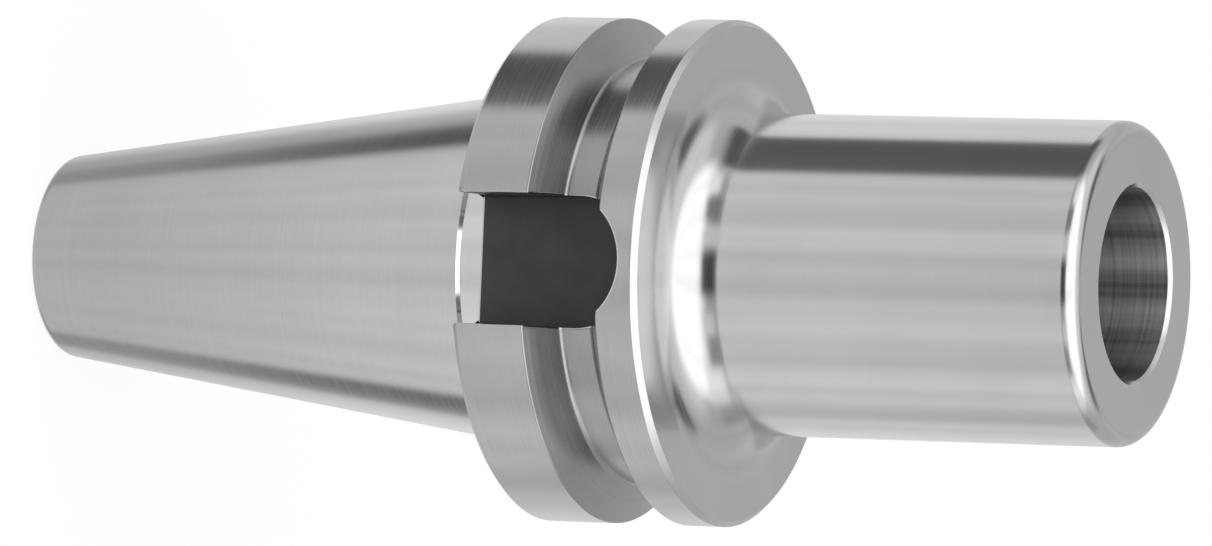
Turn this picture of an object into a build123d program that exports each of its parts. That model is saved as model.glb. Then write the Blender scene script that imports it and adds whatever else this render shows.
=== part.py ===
"""Morse taper adapter: a steep-taper machine holder with a morse taper socket in its nose.

One turned, milled and ground piece of steel. Z runs along its axis, from the small end of the
shank up to the nose, and Z = 0 is the gauge plane, where the shank has its gauge diameter.
"""

from build123d import *
import math
import os

# Driving sizes, in millimetres.

# Shank: the steep taper that seats in the machine spindle, 7 in 24 on the diameter, size 40.
gauge_diameter = 44.45
shank_taper = 7 / 24
shank_length = 65.4
shank_end_round = 1.5

# Neck: the ground relief between the taper and the flange. The flange's rear face is flange_gap
# in front of the gauge plane, and the taper itself ends taper_relief behind it.
neck_diameter = 43.2
flange_gap = 2.0
taper_relief = 1.6

# Flange, with the groove that the tool changer grips.
flange_diameter = 63.0
flange_width = 25.0
flange_rear_chamfer = 0.8
flange_front_chamfer = 0.7
groove_centre = 16.6
groove_mouth = 10.0
groove_depth = 5.0
groove_angle = 60.0
groove_root_round = 0.8
groove_edge_break = 0.25

# Drive slots, milled into the flange on both sides and open towards the shank. The floor is
# counted from the axis, and the front wall is what stands between a slot and the flange's face.
drive_slot_width = 16.1
drive_slot_floor = 22.5
drive_slot_front_wall = 2.6

# Body and nose.
body_diameter = 40.0
body_fillet = 6.0
projection = 80.0
nose_round = 2.0

# Morse taper socket, number 3. Its depths are counted from the nose face.
socket_gauge_diameter = 23.825
socket_taper = 1 / 19.922
socket_taper_depth = 72.2
socket_mouth_chamfer = 0.5
socket_bore_depth = 84.0
tang_slot_width = 8.2
tang_slot_depth = 98.0

# Drawbar hole in the small end: a core hole for the thread, with a pilot bore in front of it.
drawbar_core_diameter = 14.0
drawbar_pilot_diameter = 17.0
drawbar_pilot_depth = 8.2
drawbar_pilot_chamfer = 0.5

# How far a cut runs out past the rim that it opens.
cut_margin = 1.0

# Places along the axis and radii that follow from the driving sizes.
small_end = -shank_length
flange_rear = flange_gap
flange_front = flange_rear + flange_width
nose_face = projection
gauge_radius = gauge_diameter / 2
small_end_radius = gauge_radius - shank_length * shank_taper / 2
taper_end_radius = gauge_radius - taper_relief * shank_taper / 2
neck_radius = neck_diameter / 2
flange_radius = flange_diameter / 2
body_radius = body_diameter / 2
groove_half_mouth = groove_mouth / 2
groove_half_root = groove_half_mouth - groove_depth * math.tan(math.radians(groove_angle / 2))
groove_root_radius = flange_radius - groove_depth
socket_mouth_radius = socket_gauge_diameter / 2
socket_bore_radius = socket_mouth_radius - socket_taper_depth * socket_taper / 2
socket_bore_end = nose_face - socket_bore_depth
tang_slot_end = nose_face - tang_slot_depth
drawbar_core_radius = drawbar_core_diameter / 2
drawbar_pilot_radius = drawbar_pilot_diameter / 2


def turned(points, rounds=()):
    """Turns the half section through the points (radius, height) once round the axis.

    Each entry of rounds is a corner's (radius, height) and the radius that rounds it off.
    """
    section = make_face(Polyline(*points, close=True))
    for corner, size in rounds:
        vertex = section.vertices().sort_by_distance((*corner, 0))[0]
        section = fillet(vertex, size)
    return revolve(Plane.XZ * section, Axis.Z)


def blank():
    """The turned outside: shank, neck, flange with chamfered rims, fillet, body and nose edge."""
    rear_land = flange_radius - flange_rear_chamfer
    front_land = flange_radius - flange_front_chamfer
    end_corner = (small_end_radius, small_end)
    root_corner = (body_radius, flange_front)
    root_round = min(body_fillet, 0.9 * (front_land - body_radius))
    nose_corner = (body_radius, nose_face)
    return turned([
        (0, small_end),
        end_corner,
        (taper_end_radius, -taper_relief),
        (neck_radius, -taper_relief),
        (neck_radius, flange_rear),
        (rear_land, flange_rear),
        (flange_radius, flange_rear + flange_rear_chamfer),
        (flange_radius, flange_front - flange_front_chamfer),
        (front_land, flange_front),
        root_corner,
        nose_corner,
        (0, nose_face),
    ], [(end_corner, shank_end_round), (root_corner, root_round), (nose_corner, nose_round)])


def gripper_groove():
    """The space of the V groove round the flange, with broken edges and a rounded root."""
    slope = math.tan(math.radians(groove_angle / 2))
    edge_radius = flange_radius - groove_edge_break
    edge_half = groove_half_mouth - groove_edge_break * slope
    outside = flange_radius + cut_margin
    lower_root = (groove_root_radius, groove_centre - groove_half_root)
    upper_root = (groove_root_radius, groove_centre + groove_half_root)
    mouth_half = groove_half_mouth + groove_edge_break
    return turned([
        (outside, groove_centre - mouth_half),
        (flange_radius, groove_centre - mouth_half),
        (edge_radius, groove_centre - edge_half),
        lower_root,
        upper_root,
        (edge_radius, groove_centre + edge_half),
        (flange_radius, groove_centre + mouth_half),
        (outside, groove_centre + mouth_half),
    ], [(lower_root, groove_root_round), (upper_root, groove_root_round)])


def drive_slot(side):
    """The space of one drive slot: round at its front end, open at the flange's rear face."""
    half_width = drive_slot_width / 2
    straight = flange_width - drive_slot_front_wall - half_width
    outline = Pos(0, straight / 2) * Rectangle(drive_slot_width, straight)
    outline += Pos(0, straight) * Circle(half_width)
    floor_centre = (0, side * drive_slot_floor, flange_rear)
    floor_plane = Plane(origin=floor_centre, x_dir=(-side, 0, 0), z_dir=(0, side, 0))
    return extrude(floor_plane * outline, flange_radius - drive_slot_floor + cut_margin)


def morse_socket():
    """The space of the socket: mouth chamfer, taper, plain bore and the slot for the tang."""
    taper_end = nose_face - socket_taper_depth
    socket = turned([
        (0, socket_bore_end),
        (socket_bore_radius, socket_bore_end),
        (socket_bore_radius, taper_end),
        (socket_mouth_radius, nose_face),
        (0, nose_face),
    ])
    mouth = turned([
        (0, nose_face - socket_mouth_chamfer),
        (socket_mouth_radius, nose_face - socket_mouth_chamfer),
        (socket_mouth_radius + socket_mouth_chamfer, nose_face),
        (0, nose_face),
    ])
    depth = socket_bore_end - tang_slot_end
    tang_slot = Circle(socket_bore_radius) & Rectangle(tang_slot_width, 2 * socket_bore_radius)
    return socket + mouth + extrude(Pos(0, 0, tang_slot_end) * tang_slot, depth)


def drawbar_hole():
    """The space of the hole that the retention knob screws into, on through to the tang slot."""
    pilot_end = small_end + drawbar_pilot_depth
    return turned([
        (0, small_end),
        (drawbar_pilot_radius + drawbar_pilot_chamfer, small_end),
        (drawbar_pilot_radius, small_end + drawbar_pilot_chamfer),
        (drawbar_pilot_radius, pilot_end),
        (drawbar_core_radius, pilot_end),
        (drawbar_core_radius, tang_slot_end),
        (0, tang_slot_end),
    ])


adapter = blank() - gripper_groove()
adapter -= drive_slot(-1) + drive_slot(1)
adapter -= morse_socket()
adapter -= drawbar_hole()
adapter.label = "adapter"

os.makedirs("parts", exist_ok=True)
export_step(adapter, "parts/adapter.step")
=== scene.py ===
"""Looks of the morse taper adapter: ground steel, dark milled drive slots and a pale studio.

The steel is turned again at a finer step than the frame's, with its edges broken, its drive slots
milled and the drawbar thread cut. Sizes are in millimetres, and the frame is in metres.
"""

import bmesh
import bpy
import math
from mathutils import Matrix, Vector


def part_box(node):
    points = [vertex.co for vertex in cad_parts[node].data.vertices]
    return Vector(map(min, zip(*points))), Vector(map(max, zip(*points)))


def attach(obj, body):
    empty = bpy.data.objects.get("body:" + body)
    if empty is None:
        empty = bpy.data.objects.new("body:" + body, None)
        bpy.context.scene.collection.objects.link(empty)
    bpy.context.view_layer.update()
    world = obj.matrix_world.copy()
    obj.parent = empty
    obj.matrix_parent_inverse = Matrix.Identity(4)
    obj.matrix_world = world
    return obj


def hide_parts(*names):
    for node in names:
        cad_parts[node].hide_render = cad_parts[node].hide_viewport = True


MM = 0.001

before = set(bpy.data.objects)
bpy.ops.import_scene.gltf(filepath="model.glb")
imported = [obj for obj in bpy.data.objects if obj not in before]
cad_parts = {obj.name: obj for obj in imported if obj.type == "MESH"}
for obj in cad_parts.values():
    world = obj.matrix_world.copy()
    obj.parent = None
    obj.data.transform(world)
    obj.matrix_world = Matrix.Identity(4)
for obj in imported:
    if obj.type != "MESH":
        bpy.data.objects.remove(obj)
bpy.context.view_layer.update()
cad_low, cad_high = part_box("adapter")

# Sizes of the steel that the frame gives.
small_end = cad_low.z / MM
nose_face = cad_high.z / MM
flange_radius = cad_high.x / MM

# Shank, neck and flange.
gauge_radius = 44.45 / 2
shank_slope = 7 / 48
shank_end_round = 1.5
taper_relief = 1.6
relief_slope_length = 0.5
neck_radius = 43.2 / 2
flange_rear = 2.0
flange_front = flange_rear + 25.0
flange_rear_chamfer = 0.8
flange_front_chamfer = 0.7
groove_centre = 16.6
groove_half_mouth = 5.0
groove_depth = 5.0
groove_wall_angle = 30.0
groove_root_round = 0.8
groove_edge_break = 0.25

# Drive slots.
slot_width = 16.1
slot_floor = 22.5
slot_front_wall = 2.6
slot_floor_round = 0.4
slot_edge_break = 0.3

# Body, nose and socket.
body_radius = 40.0 / 2
body_fillet = 6.0
nose_round = 2.0
socket_radius = 23.825 / 2
socket_slope = 1 / 19.922 / 2
socket_taper_depth = 72.2
socket_mouth_chamfer = 0.5
bore_radius = socket_radius - socket_taper_depth * socket_slope
bore_end = nose_face - 84.0
tang_slot_width = 8.2
tang_slot_end = nose_face - 98.0

# Drawbar hole and its thread, whose root flat and flank are shares of the pitch.
core_radius = 14.0 / 2
pilot_radius = 17.0 / 2
pilot_end = small_end + 8.2
pilot_chamfer = 0.5
thread_radius = 16.0 / 2
thread_pitch = 2.0
thread_length = 26.0
thread_root_flat = 1 / 4
thread_flank = 5 / 12

# Cutters: how far they run out past what they open, how far the tang slot's cutter dips into the
# hole below it, and how far its round ends stay inside the plain bore.
cutter_margin = 1.0
tang_cutter_dip = 0.02
tang_cutter_inset = 0.03

# Fineness of the mesh.
columns = 240
thread_rows_per_turn = 8
arc_step_degrees = 9.0
slot_arc_steps = 40
tang_arc_steps = 10
floor_round_steps = 3
edge_break_steps = 2
soft_edge = 0.12
sharp_angle_degrees = 35.0
broken_angle_degrees = 20.0

# Finishes, in the order of the steel's material slots.
GROUND, RELIEVED, TURNED, GROOVED, BORED, MILLED = range(6)


def rounded(corners):
    """Outline through (radius, height, round, finish) corners, with an arc at each one that has a round.

    A corner's finish is that of the stretch that follows it. Returns (radius, height, finish) points.
    """
    outline = []
    count = len(corners)
    for index, (radius, height, size, finish) in enumerate(corners):
        corner = Vector((radius, height))
        if size <= 0 or index in (0, count - 1):
            outline.append((radius, height, finish))
            continue
        before = (Vector(corners[index - 1][:2]) - corner).normalized()
        after = (Vector(corners[index + 1][:2]) - corner).normalized()
        half = before.angle(after) / 2
        centre = corner + (before + after).normalized() * size / math.sin(half)
        start = corner + before * size / math.tan(half) - centre
        stop = corner + after * size / math.tan(half) - centre
        turn = start.angle_signed(stop)
        steps = max(2, round(abs(math.degrees(turn)) / arc_step_degrees))
        for step in range(steps + 1):
            point = centre + Matrix.Rotation(-turn * step / steps, 2) @ start
            outline.append((point.x, point.y, finish))
    return outline


def hole_outline():
    """The half section of the drawbar hole's inner end, from the tang slot to its thread."""
    return [
        (0, tang_slot_end, TURNED),
        (core_radius, tang_slot_end, TURNED),
        (core_radius, pilot_end + thread_length, TURNED),
    ]


def steel_outline():
    """The half section of the rest, from the thread's mouth round the outside to the socket's end."""
    small_radius = gauge_radius + small_end * shank_slope
    taper_end_radius = gauge_radius - taper_relief * shank_slope
    groove_half_root = groove_half_mouth - groove_depth * math.tan(math.radians(groove_wall_angle))
    groove_root = flange_radius - groove_depth
    return rounded([
        (core_radius, pilot_end, 0, TURNED),
        (pilot_radius, pilot_end, soft_edge, TURNED),
        (pilot_radius, small_end + pilot_chamfer, soft_edge, TURNED),
        (pilot_radius + pilot_chamfer, small_end, soft_edge, TURNED),
        (small_radius, small_end, shank_end_round, GROUND),
        (taper_end_radius, -taper_relief, soft_edge, RELIEVED),
        (neck_radius, -taper_relief + relief_slope_length, soft_edge, RELIEVED),
        (neck_radius, flange_rear, soft_edge, TURNED),
        (flange_radius - flange_rear_chamfer, flange_rear, soft_edge, TURNED),
        (flange_radius, flange_rear + flange_rear_chamfer, soft_edge, TURNED),
        (flange_radius, groove_centre - groove_half_mouth, groove_edge_break, GROOVED),
        (groove_root, groove_centre - groove_half_root, groove_root_round, GROOVED),
        (groove_root, groove_centre + groove_half_root, groove_root_round, GROOVED),
        (flange_radius, groove_centre + groove_half_mouth, groove_edge_break, TURNED),
        (flange_radius, flange_front - flange_front_chamfer, soft_edge, GROUND),
        (flange_radius - flange_front_chamfer, flange_front, soft_edge, GROUND),
        (body_radius, flange_front, body_fillet, GROUND),
        (body_radius, nose_face, nose_round, GROUND),
        (socket_radius + socket_mouth_chamfer, nose_face, soft_edge, GROUND),
        (socket_radius, nose_face - socket_mouth_chamfer, soft_edge, BORED),
        (bore_radius, nose_face - socket_taper_depth, 0, BORED),
        (bore_radius, bore_end, soft_edge, BORED),
        (0, bore_end, 0, BORED),
    ])


def thread_ring(height):
    """Radius at each column of the drawbar thread at one height."""
    radii = []
    for column in range(columns):
        turn = (height / thread_pitch + column / columns) % 1.0
        ridge = max(0.0, (abs(turn - 0.5) - thread_root_flat / 2) / thread_flank)
        radii.append(thread_radius - (thread_radius - core_radius) * ridge)
    return radii


def turned_steel():
    """The steel turned round Z, a closed mesh with one ring of vertices for each outline point."""
    rings = [([radius] * columns, height, finish) for radius, height, finish in hole_outline()]
    rows = round(thread_length / thread_pitch * thread_rows_per_turn)
    for row in range(rows - 1, 0, -1):
        height = pilot_end + thread_length * row / rows
        rings.append((thread_ring(height), height, TURNED))
    rings += [([radius] * columns, height, finish) for radius, height, finish in steel_outline()]

    mesh = bmesh.new()
    loops = []
    for radii, height, finish in rings:
        if not any(radii):
            loops.append([mesh.verts.new((0, 0, height * MM))])
            continue
        loop = []
        for column, radius in enumerate(radii):
            angle = math.tau * column / columns
            place = Vector((radius * math.cos(angle), radius * math.sin(angle), height))
            loop.append(mesh.verts.new(place * MM))
        loops.append(loop)
    for index, (lower, upper) in enumerate(zip(loops, loops[1:])):
        for column in range(columns):
            following = (column + 1) % columns
            corners = [lower[column % len(lower)], lower[following % len(lower)],
                       upper[following % len(upper)], upper[column % len(upper)]]
            face = mesh.faces.new(dict.fromkeys(corners))
            face.smooth = True
            face.material_index = rings[index][2]
    bmesh.ops.recalc_face_normals(mesh, faces=mesh.faces)
    return mesh


def to_object(mesh, name, *materials):
    """Makes an object of a bmesh and frees it."""
    data = bpy.data.meshes.new(name)
    mesh.to_mesh(data)
    mesh.free()
    for material in materials:
        data.materials.append(material)
    thing = bpy.data.objects.new(name, data)
    bpy.context.scene.collection.objects.link(thing)
    return thing


def prism(name, outline, low, high, place, material, floor_round=0.0):
    """A closed prism on an outline in its own XY plane, from low to high, its low rim rounded."""
    mesh = bmesh.new()
    bottom = [mesh.verts.new((x * MM, y * MM, low * MM)) for x, y in outline]
    top = [mesh.verts.new((x * MM, y * MM, high * MM)) for x, y in outline]
    floor = mesh.faces.new(bottom[::-1])
    mesh.faces.new(top)
    count = len(outline)
    for index in range(count):
        following = (index + 1) % count
        mesh.faces.new((bottom[index], bottom[following], top[following], top[index]))
    if floor_round:
        bmesh.ops.bevel(mesh, geom=list(floor.edges), offset=floor_round * MM, segments=floor_round_steps,
                        affect="EDGES", profile=0.5, clamp_overlap=True)
    for face in mesh.faces:
        face.smooth = True
    mesh.transform(place)
    bmesh.ops.recalc_face_normals(mesh, faces=mesh.faces)
    return to_object(mesh, name, material)


def slot_outline():
    """Outline of a drive slot: open end behind the flange, straight sides, round front end."""
    half = slot_width / 2
    open_end = flange_rear - cutter_margin
    straight_end = flange_front - slot_front_wall - half
    outline = [(half, open_end), (half, straight_end)]
    for step in range(1, slot_arc_steps):
        angle = math.pi * step / slot_arc_steps
        outline.append((half * math.cos(angle), straight_end + half * math.sin(angle)))
    return outline + [(-half, straight_end), (-half, open_end)]


def tang_outline():
    """Outline of the tang slot: two flat sides, and round ends just inside the plain bore."""
    radius = bore_radius - tang_cutter_inset
    reach = math.asin(tang_slot_width / 2 / radius)
    outline = []
    for middle in (math.pi / 2, -math.pi / 2):
        for step in range(tang_arc_steps + 1):
            angle = middle + reach * (2 * step / tang_arc_steps - 1)
            outline.append((radius * math.cos(angle), radius * math.sin(angle)))
    return outline


def cut(target, cutter):
    """Cuts one closed object out of another and drops the cutter."""
    modifier = target.modifiers.new("cut", "BOOLEAN")
    modifier.operation = "DIFFERENCE"
    modifier.solver = "MANIFOLD"
    modifier.object = cutter
    modifier.material_mode = "TRANSFER"
    graph = bpy.context.evaluated_depsgraph_get()
    data = bpy.data.meshes.new_from_object(target.evaluated_get(graph))
    target.modifiers.clear()
    target.data = data
    bpy.data.objects.remove(cutter)


def break_slot_edges(steel):
    """Bevels the outer edges of the drive slots, where a milled face meets a turned one."""
    mesh = bmesh.new()
    mesh.from_mesh(steel.data)
    edges = []
    for edge in mesh.edges:
        milled_sides = [face.material_index == MILLED for face in edge.link_faces]
        if sorted(milled_sides) != [False, True] or not edge.is_convex:
            continue
        if edge.calc_face_angle() > math.radians(broken_angle_degrees):
            edges.append(edge)
    bmesh.ops.bevel(mesh, geom=edges, offset=slot_edge_break * MM, segments=edge_break_steps,
                    affect="EDGES", profile=0.5, clamp_overlap=False, material=GROUND)
    mesh.to_mesh(steel.data)
    mesh.free()


class Nodes:
    """Short ways to add shader nodes to one tree."""

    def __init__(self, tree):
        self.tree = tree

    def put(self, socket, value):
        """Links a socket to another, or sets its value."""
        if isinstance(value, bpy.types.NodeSocket):
            self.tree.links.new(value, socket)
        else:
            socket.default_value = value

    def add(self, kind, inputs=None, **settings):
        """Adds a node; inputs are values or sockets by name or number."""
        node = self.tree.nodes.new(kind)
        for name, value in settings.items():
            setattr(node, name, value)
        for name, value in (inputs or {}).items():
            self.put(node.inputs[name], value)
        return node

    def math(self, operation, *values):
        """A maths node's result."""
        return self.add("ShaderNodeMath", dict(enumerate(values)), operation=operation).outputs[0]

    def times(self, first, second):
        """The product of two numbers."""
        return self.math("MULTIPLY", first, second)

    def smooth(self, value, start, stop, low=0.0, high=1.0):
        """Goes smoothly from low to high while value goes from start to stop."""
        numbers = dict(enumerate((value, start, stop, low, high)))
        return self.add("ShaderNodeMapRange", numbers, interpolation_type="SMOOTHSTEP").outputs[0]

    def blend(self, first, second, share):
        """A number between two others."""
        return self.math("ADD", first, self.times(self.math("SUBTRACT", second, first), share))

    def split(self, vector):
        """The three numbers of a vector."""
        return self.add("ShaderNodeSeparateXYZ", {0: vector}).outputs

    def vector(self, x, y, z):
        """A vector of three numbers."""
        return self.add("ShaderNodeCombineXYZ", {0: x, 1: y, 2: z}).outputs[0]

    def distance(self, x, y):
        """Distance of a place from the Z axis."""
        flat = self.vector(x, y, 0.0)
        return self.add("ShaderNodeVectorMath", {0: flat}, operation="LENGTH").outputs["Value"]

    def ring(self, x, y):
        """A place moved onto the unit circle round the Z axis."""
        flat = self.vector(x, y, 0.0)
        return self.add("ShaderNodeVectorMath", {0: flat}, operation="NORMALIZE").outputs[0]

    def noise(self, place, scale, detail=2.0):
        """A noise texture's value."""
        inputs = {"Vector": place, "Scale": scale, "Detail": detail}
        return self.add("ShaderNodeTexNoise", inputs).outputs[0]

    def grey(self, value):
        """A grey colour of a value."""
        return self.add("ShaderNodeCombineColor", {0: value, 1: value, 2: value}).outputs[0]

    def bump(self, height, strength, depth):
        """A normal that follows a height."""
        inputs = {"Strength": strength, "Distance": depth * MM, "Height": height}
        return self.add("ShaderNodeBump", inputs).outputs[0]

    def glow(self, strength):
        """A surface that glows white."""
        return self.add("ShaderNodeEmission", {"Color": (1, 1, 1, 1), "Strength": strength}).outputs[0]

    def mix(self, share, first, second):
        """A surface between two others."""
        return self.add("ShaderNodeMixShader", {0: share, 1: first, 2: second}).outputs[0]


def new_material(name):
    """An empty node material, its nodes helper and its surface shader."""
    material = bpy.data.materials.new(name)
    material.use_nodes = True
    return material, Nodes(material.node_tree), material.node_tree.nodes["Principled BSDF"]


# Finishes from a lathe or a cylindrical grinder, in the order of the steel's material slots. Each has
# a name, tone, tone change, roughness, roughness change, anisotropy, lines to the metre, depth of the
# lines and strength of the painted reflection streaks.
ROUND_FINISHES = (
    ("ground_steel", 0.56, 0.012, 0.17, 0.03, 0.6, 9000.0, 0.004, 0.0),
    # The relieved neck's lighter tone is a painted highlight.
    ("relieved_steel", 0.67, 0.015, 0.2, 0.03, 0.6, 7000.0, 0.006, 0.0),
    ("turned_steel", 0.45, 0.02, 0.21, 0.04, 0.6, 5000.0, 0.01, 0.0),
    # The groove's darker tone is painted shade for its depth.
    ("grooved_steel", 0.36, 0.02, 0.25, 0.04, 0.5, 4000.0, 0.01, 0.0),
    # The bore's last value paints lengthwise reflection streaks into its tone.
    ("bored_steel", 0.38, 0.02, 0.38, 0.05, 0.8, 6000.0, 0.01, 0.13),
)

# Patterns of those finishes. A spread is the part of a noise's values that a change runs over.
cloud_scale = 70.0
cloud_detail = 4.0
cloud_spread = (0.3, 0.7)
lines_around_rate = 0.4
lines_detail = 3.0
lines_tone_spread = (0.25, 0.75)
lines_roughness_spread = (0.2, 0.8)
lines_bump = 0.2
# Painted reflection streaks in the bore's tone: how many go round the axis, and the scale and share of the
# finer ones.
streaks_around = 11.0
fine_streaks_scale = 9.0
fine_streaks_share = 0.5
quarter_turn = 0.25

# The slots' milled finish.
milled_tones = (0.052, 0.07)
milled_roughness = (0.42, 0.55)
milled_metallic = 0.7
milled_cloud_scale = 180.0
milled_grain_scale = 2500.0
milled_grain_depth = 0.03
milled_bump = 0.15


def turning_lines(nodes, place, lines_per_metre):
    """Noise drawn out round the axis, as a tool or a grinding wheel leaves it."""
    x, y, z = nodes.split(place)
    around = nodes.times(nodes.math("ARCTAN2", y, x), lines_around_rate)
    along = nodes.times(z, lines_per_metre)
    outward = nodes.times(nodes.distance(x, y), lines_per_metre)
    return nodes.noise(nodes.vector(around, along, outward), 1.0, lines_detail)


def painted_reflection_streaks(nodes, place, strength):
    """Painted reflection: lengthwise light and dark streaks in the tone, a few of them round the axis,
    standing in for the bore's mirrored bands.
    """
    x, y = nodes.split(place)[:2]
    waves = nodes.math("SINE", nodes.times(nodes.math("ARCTAN2", y, x), streaks_around))
    noise = nodes.noise(nodes.ring(x, y), fine_streaks_scale, lines_detail)
    fine = nodes.smooth(noise, *cloud_spread, -fine_streaks_share, fine_streaks_share)
    return nodes.times(nodes.math("ADD", waves, fine), strength)


def round_steel(name, tone, tone_change, roughness, roughness_change, anisotropy, lines_per_metre,
                line_depth, streaks):
    """Steel finished on a lathe or a cylindrical grinder, whose lines run round the axis."""
    material, nodes, shader = new_material(name)
    place = nodes.add("ShaderNodeTexCoord").outputs["Object"]
    lines = turning_lines(nodes, place, lines_per_metre)
    cloud = nodes.noise(place, cloud_scale, cloud_detail)
    stain = nodes.smooth(cloud, *cloud_spread, -tone_change, tone_change)
    fine = nodes.smooth(lines, *lines_tone_spread, tone - tone_change, tone + tone_change)
    shade = nodes.math("ADD", stain, fine)
    # The bore gets painted reflection streaks in its tone.
    if streaks:
        shade = nodes.math("ADD", shade, painted_reflection_streaks(nodes, place, streaks))
    nodes.put(shader.inputs["Base Color"], nodes.grey(shade))
    shader.inputs["Metallic"].default_value = 1.0
    rough = nodes.smooth(lines, *lines_roughness_spread,
                         roughness - roughness_change, roughness + roughness_change)
    nodes.put(shader.inputs["Roughness"], rough)
    shader.inputs["Anisotropic"].default_value = anisotropy
    shader.inputs["Anisotropic Rotation"].default_value = quarter_turn
    tangent = nodes.add("ShaderNodeTangent", direction_type="RADIAL", axis="Z")
    nodes.put(shader.inputs["Tangent"], tangent.outputs[0])
    nodes.put(shader.inputs["Normal"], nodes.bump(lines, lines_bump, line_depth))
    return material


def milled_steel():
    """The slots' unground surface, nearly black."""
    material, nodes, shader = new_material("milled_steel")
    place = nodes.add("ShaderNodeTexCoord").outputs["Object"]
    cloud = nodes.noise(place, milled_cloud_scale, cloud_detail)
    grain = nodes.noise(place, milled_grain_scale)
    nodes.put(shader.inputs["Base Color"], nodes.grey(nodes.smooth(cloud, *cloud_spread, *milled_tones)))
    shader.inputs["Metallic"].default_value = milled_metallic
    nodes.put(shader.inputs["Roughness"], nodes.smooth(cloud, *cloud_spread, *milled_roughness))
    nodes.put(shader.inputs["Normal"], nodes.bump(grain, milled_bump, milled_grain_depth))
    return material


def make_adapter():
    """The whole steel piece, in place of the frame's solid."""
    milled = milled_steel()
    round_finishes = [round_steel(*finish) for finish in ROUND_FINISHES]
    steel = to_object(turned_steel(), "adapter_steel", *round_finishes, milled)
    for side in (-1, 1):
        # The cutter's own X runs across the slot, its Y along the axis and its Z outwards.
        place = Matrix(((-side, 0, 0, 0), (0, 0, side, 0), (0, 1, 0, 0), (0, 0, 0, 1)))
        outside = flange_radius + 2 * cutter_margin
        cutter = prism("slot_cutter", slot_outline(), slot_floor, outside, place, milled, slot_floor_round)
        cut(steel, cutter)
    low = tang_slot_end - tang_cutter_dip
    high = bore_end + cutter_margin
    cut(steel, prism("tang_cutter", tang_outline(), low, high, Matrix(), milled))
    break_slot_edges(steel)
    steel.data.set_sharp_from_angle(angle=math.radians(sharp_angle_degrees))
    steel.modifiers.new("weighted", "WEIGHTED_NORMAL").keep_sharp = True
    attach(steel, "root")
    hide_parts("adapter")


# The photograph's frame and the object's place in it.
photo_width = 1212
photo_height = 546
sensor_width = 36.0
focal_px = 11200.0
gauge_scale_px_per_mm = 7.99
gauge_centre_px = (540.7, 268.5)
axis_towards_camera_degrees = 24.2
axis_downhill_degrees = 1.4
slot_turned_up_degrees = 2.1
nearest_seen = 10.0


def make_camera():
    """The photograph's camera. The axis runs to the right in its picture, the nose a little nearer."""
    yaw = math.radians(axis_towards_camera_degrees)
    drop = math.radians(axis_downhill_degrees)
    turn = math.radians(slot_turned_up_degrees)
    # Directions here are (right, down, away) as the camera sees them.
    axis = Vector((math.cos(yaw) * math.cos(drop), math.sin(drop), -math.sin(yaw) * math.cos(drop)))
    towards = Vector((0, 0, -1)) - axis * axis.dot(Vector((0, 0, -1)))
    towards.normalize()
    upwards = Vector((0, -1, 0)) - axis * axis.dot(Vector((0, -1, 0)))
    upwards = (upwards - towards * towards.dot(upwards)).normalized()
    slot_side = towards * math.cos(turn) + upwards * math.sin(turn)
    across = (-slot_side).cross(axis)
    distance = focal_px / gauge_scale_px_per_mm
    gauge_centre = Vector((
        (gauge_centre_px[0] - photo_width / 2) * distance / focal_px,
        (gauge_centre_px[1] - photo_height / 2) * distance / focal_px,
        distance,
    ))
    # The camera's right, down and away directions in the object's frame.
    right, down, away = Matrix((across, -slot_side, axis)).transposed()
    place = -(right * gauge_centre.x + down * gauge_centre.y + away * gauge_centre.z) * MM
    data = bpy.data.cameras.new("camera")
    data.sensor_width = sensor_width
    data.lens = focal_px / photo_width * sensor_width
    data.clip_start = nearest_seen * MM
    camera = bpy.data.objects.new("camera", data)
    camera.matrix_world = Matrix.Translation(place) @ Matrix((right, -down, -away)).transposed().to_4x4()
    bpy.context.scene.collection.objects.link(camera)
    bpy.context.scene.camera = camera


# Floor: a pale disc just clear of the small end's face. In the picture it fades from nearly white to
# the backdrop's plain white, from a share of its radius outwards. The steel mirrors it as a glow that
# clears with the distance from its middle.
floor_gap = 0.02
floor_radius = 150.0
floor_sides = 128
floor_tone = 0.85
floor_roughness = 0.9
floor_whiteness = 0.92
floor_fade_start = 0.4
floor_mirrored_glow = 0.62
floor_mirrored_clear = 0.35
floor_mirrored_fade = (10.0, 110.0)


def make_floor():
    """The pale floor that the adapter stands on. It keeps the shadow and fades into the backdrop."""
    mesh = bmesh.new()
    bmesh.ops.create_circle(mesh, cap_ends=True, segments=floor_sides, radius=floor_radius * MM)
    mesh.transform(Matrix.Translation((0, 0, (small_end - floor_gap) * MM)))
    material, nodes, shader = new_material("pale_floor")
    shader.inputs["Base Color"].default_value = (floor_tone, floor_tone, floor_tone, 1)
    shader.inputs["Roughness"].default_value = floor_roughness
    x, y = nodes.split(nodes.add("ShaderNodeTexCoord").outputs["Object"])[:2]
    distance = nodes.distance(x, y)
    path = nodes.add("ShaderNodeLightPath").outputs

    fade_start = floor_fade_start * floor_radius * MM
    white = nodes.smooth(distance, fade_start, floor_radius * MM, floor_whiteness, 1.0)
    seen = nodes.mix(nodes.times(white, path["Is Camera Ray"]), shader.outputs[0], nodes.glow(1.0))

    start, stop = floor_mirrored_fade
    fade = nodes.smooth(distance, start * MM, stop * MM, floor_mirrored_clear, 1.0)
    clear = nodes.add("ShaderNodeBsdfTransparent").outputs[0]
    mirrored = nodes.mix(fade, nodes.glow(floor_mirrored_glow), clear)

    is_mirrored = nodes.math("MAXIMUM", path["Is Glossy Ray"], path["Is Transmission Ray"])
    surface = nodes.mix(is_mirrored, seen, mirrored)
    nodes.put(material.node_tree.nodes["Material Output"].inputs["Surface"], surface)
    floor = to_object(mesh, "floor", material)


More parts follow.
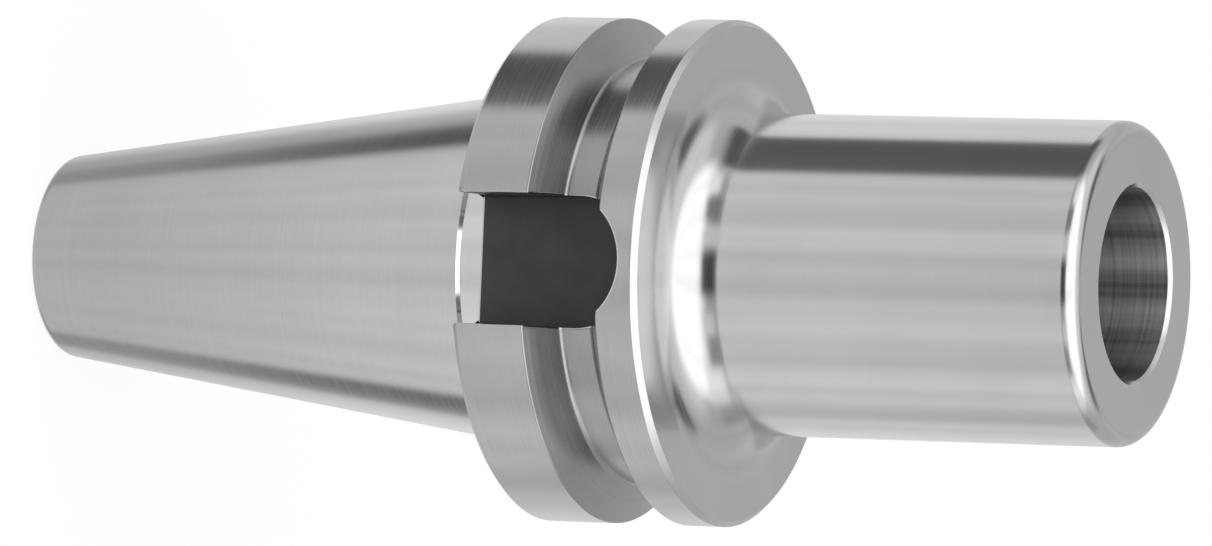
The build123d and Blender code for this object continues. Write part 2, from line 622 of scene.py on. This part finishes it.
# Studio round the adapter, for what its steel mirrors. Azimuth is counted from the camera's side (-Y)
# towards the side that is up in the picture (-X), elevation from the horizon. Both are in degrees.
# Each panel has a name, azimuth, half width, side edge, lowest and highest elevation, end edge, level.
PANELS = (
    ("floor glow", 0, 400, 1, -400, -20, 3, 0.90),
    ("floor glow far away", 0, 150, 8, -31, -20, 3, 0.97),
    ("horizon gap", 0, 66, 6, -17.5, 6, 3, 0.50),
    ("high side light", 0, 122, 10, 31, 72, 9, 1.00),
    ("softbox", -9, 88, 8, 16, 400, 13, 1.80),
    ("high gap behind on the right", -160, 17, 7, 40, 54, 4, 0.13),
    ("high gap behind on the left", 154, 20, 8, 41, 57, 4, 0.13),
    ("softbox foot on the right", -84, 15, 8, -12, 20, 8, 1.22),
    ("softbox foot on the left", 61, 8, 6, -3, 20, 6, 1.35),
    ("reflector on the left", 22, 8, 4, -20, 18, 4, 0.85),
    ("reflector on the right", -37, 8, 4, -10, 16, 5, 0.85),
    ("gap on the left", 43, 9, 5, -17, 19, 5, 0.28),
    ("gap on the right", -57, 9, 5, -19.5, 8, 5, 0.36),
    ("camera", -2, 15, 6, -16.5, 18, 4, 0.05),
    ("flag", 95.5, 19, 3, -30, 0, 3, 0.14),
    ("flag's upper part", 95.5, 19, 3, -10, 8, 10, 0.13),
    ("flag's foot", 107, 13.5, 5, -60, -31, 3, 0.09),
    ("flag's foot far away", 129, 12, 8, -60, -31, 3, 0.42),
    ("side gap", -114, 9, 6, -21, 10, 5, 0.48),
    ("side gap's foot", -121, 14, 5, -60, -32, 3, 0.06),
)

# Levels of the wall behind the panels and of the ceiling, and the elevations between which one turns
# into the other. Upright folds change all levels a little.
wall_level = 0.64
ceiling_level = 1.1
ceiling_rise = (30.0, 85.0)
fold_scale = 3.2
fold_levels = (0.9, 1.08)


def make_world():
    """White for the camera, and for every other ray a soft studio of a few large panels."""
    world = bpy.data.worlds.new("studio")
    bpy.context.scene.world = world
    world.use_nodes = True
    nodes = Nodes(world.node_tree)
    x, y, z = nodes.split(nodes.add("ShaderNodeTexCoord").outputs["Generated"])
    front = nodes.times(y, -1.0)
    side = nodes.times(x, -1.0)
    azimuth = nodes.math("DEGREES", nodes.math("ARCTAN2", side, front))
    elevation = nodes.math("DEGREES", nodes.math("ARCSINE", z))
    level = nodes.smooth(elevation, *ceiling_rise, wall_level, ceiling_level)
    for name, middle, half, side_edge, low, high, end_edge, brightness in PANELS:
        off = nodes.math("ABSOLUTE", nodes.math("SUBTRACT", azimuth, middle))
        across = nodes.smooth(off, half - side_edge, half + side_edge, 1.0, 0.0)
        above = nodes.smooth(elevation, low - end_edge, low + end_edge)
        below = nodes.smooth(elevation, high - end_edge, high + end_edge, 1.0, 0.0)
        share = nodes.times(across, nodes.times(above, below))
        share.node.label = name
        level = nodes.blend(level, brightness, share)
    folds = nodes.smooth(nodes.noise(nodes.ring(x, y), fold_scale), *cloud_spread, *fold_levels)
    camera_ray = nodes.add("ShaderNodeLightPath").outputs["Is Camera Ray"]
    background = world.node_tree.nodes["Background"]
    background.inputs["Color"].default_value = (1, 1, 1, 1)
    nodes.put(background.inputs["Strength"], nodes.blend(nodes.times(level, folds), 1.0, camera_ray))


# Key lamp: its direction from the middle of the gauge plane, and its other values in metres and watts.
lamp_direction = (-0.5, -0.8, 1.2)
lamp_distance = 0.7
lamp_size = 0.5
lamp_watts = 1.0


def make_lamp():
    """A soft square lamp that points at the middle of the gauge plane and isn't mirrored."""
    data = bpy.data.lights.new("key_lamp", "AREA")
    data.shape = "SQUARE"
    data.size = lamp_size
    data.energy = lamp_watts
    lamp = bpy.data.objects.new("key_lamp", data)
    lamp.visible_camera = False
    lamp.visible_glossy = False
    lamp.location = Vector(lamp_direction).normalized() * lamp_distance
    lamp.rotation_euler = (-lamp.location).to_track_quat("-Z", "Y").to_euler()
    bpy.context.scene.collection.objects.link(lamp)


make_adapter()
make_camera()
make_floor()
make_world()
make_lamp()

bpy.context.scene.view_settings.view_transform = "Standard"
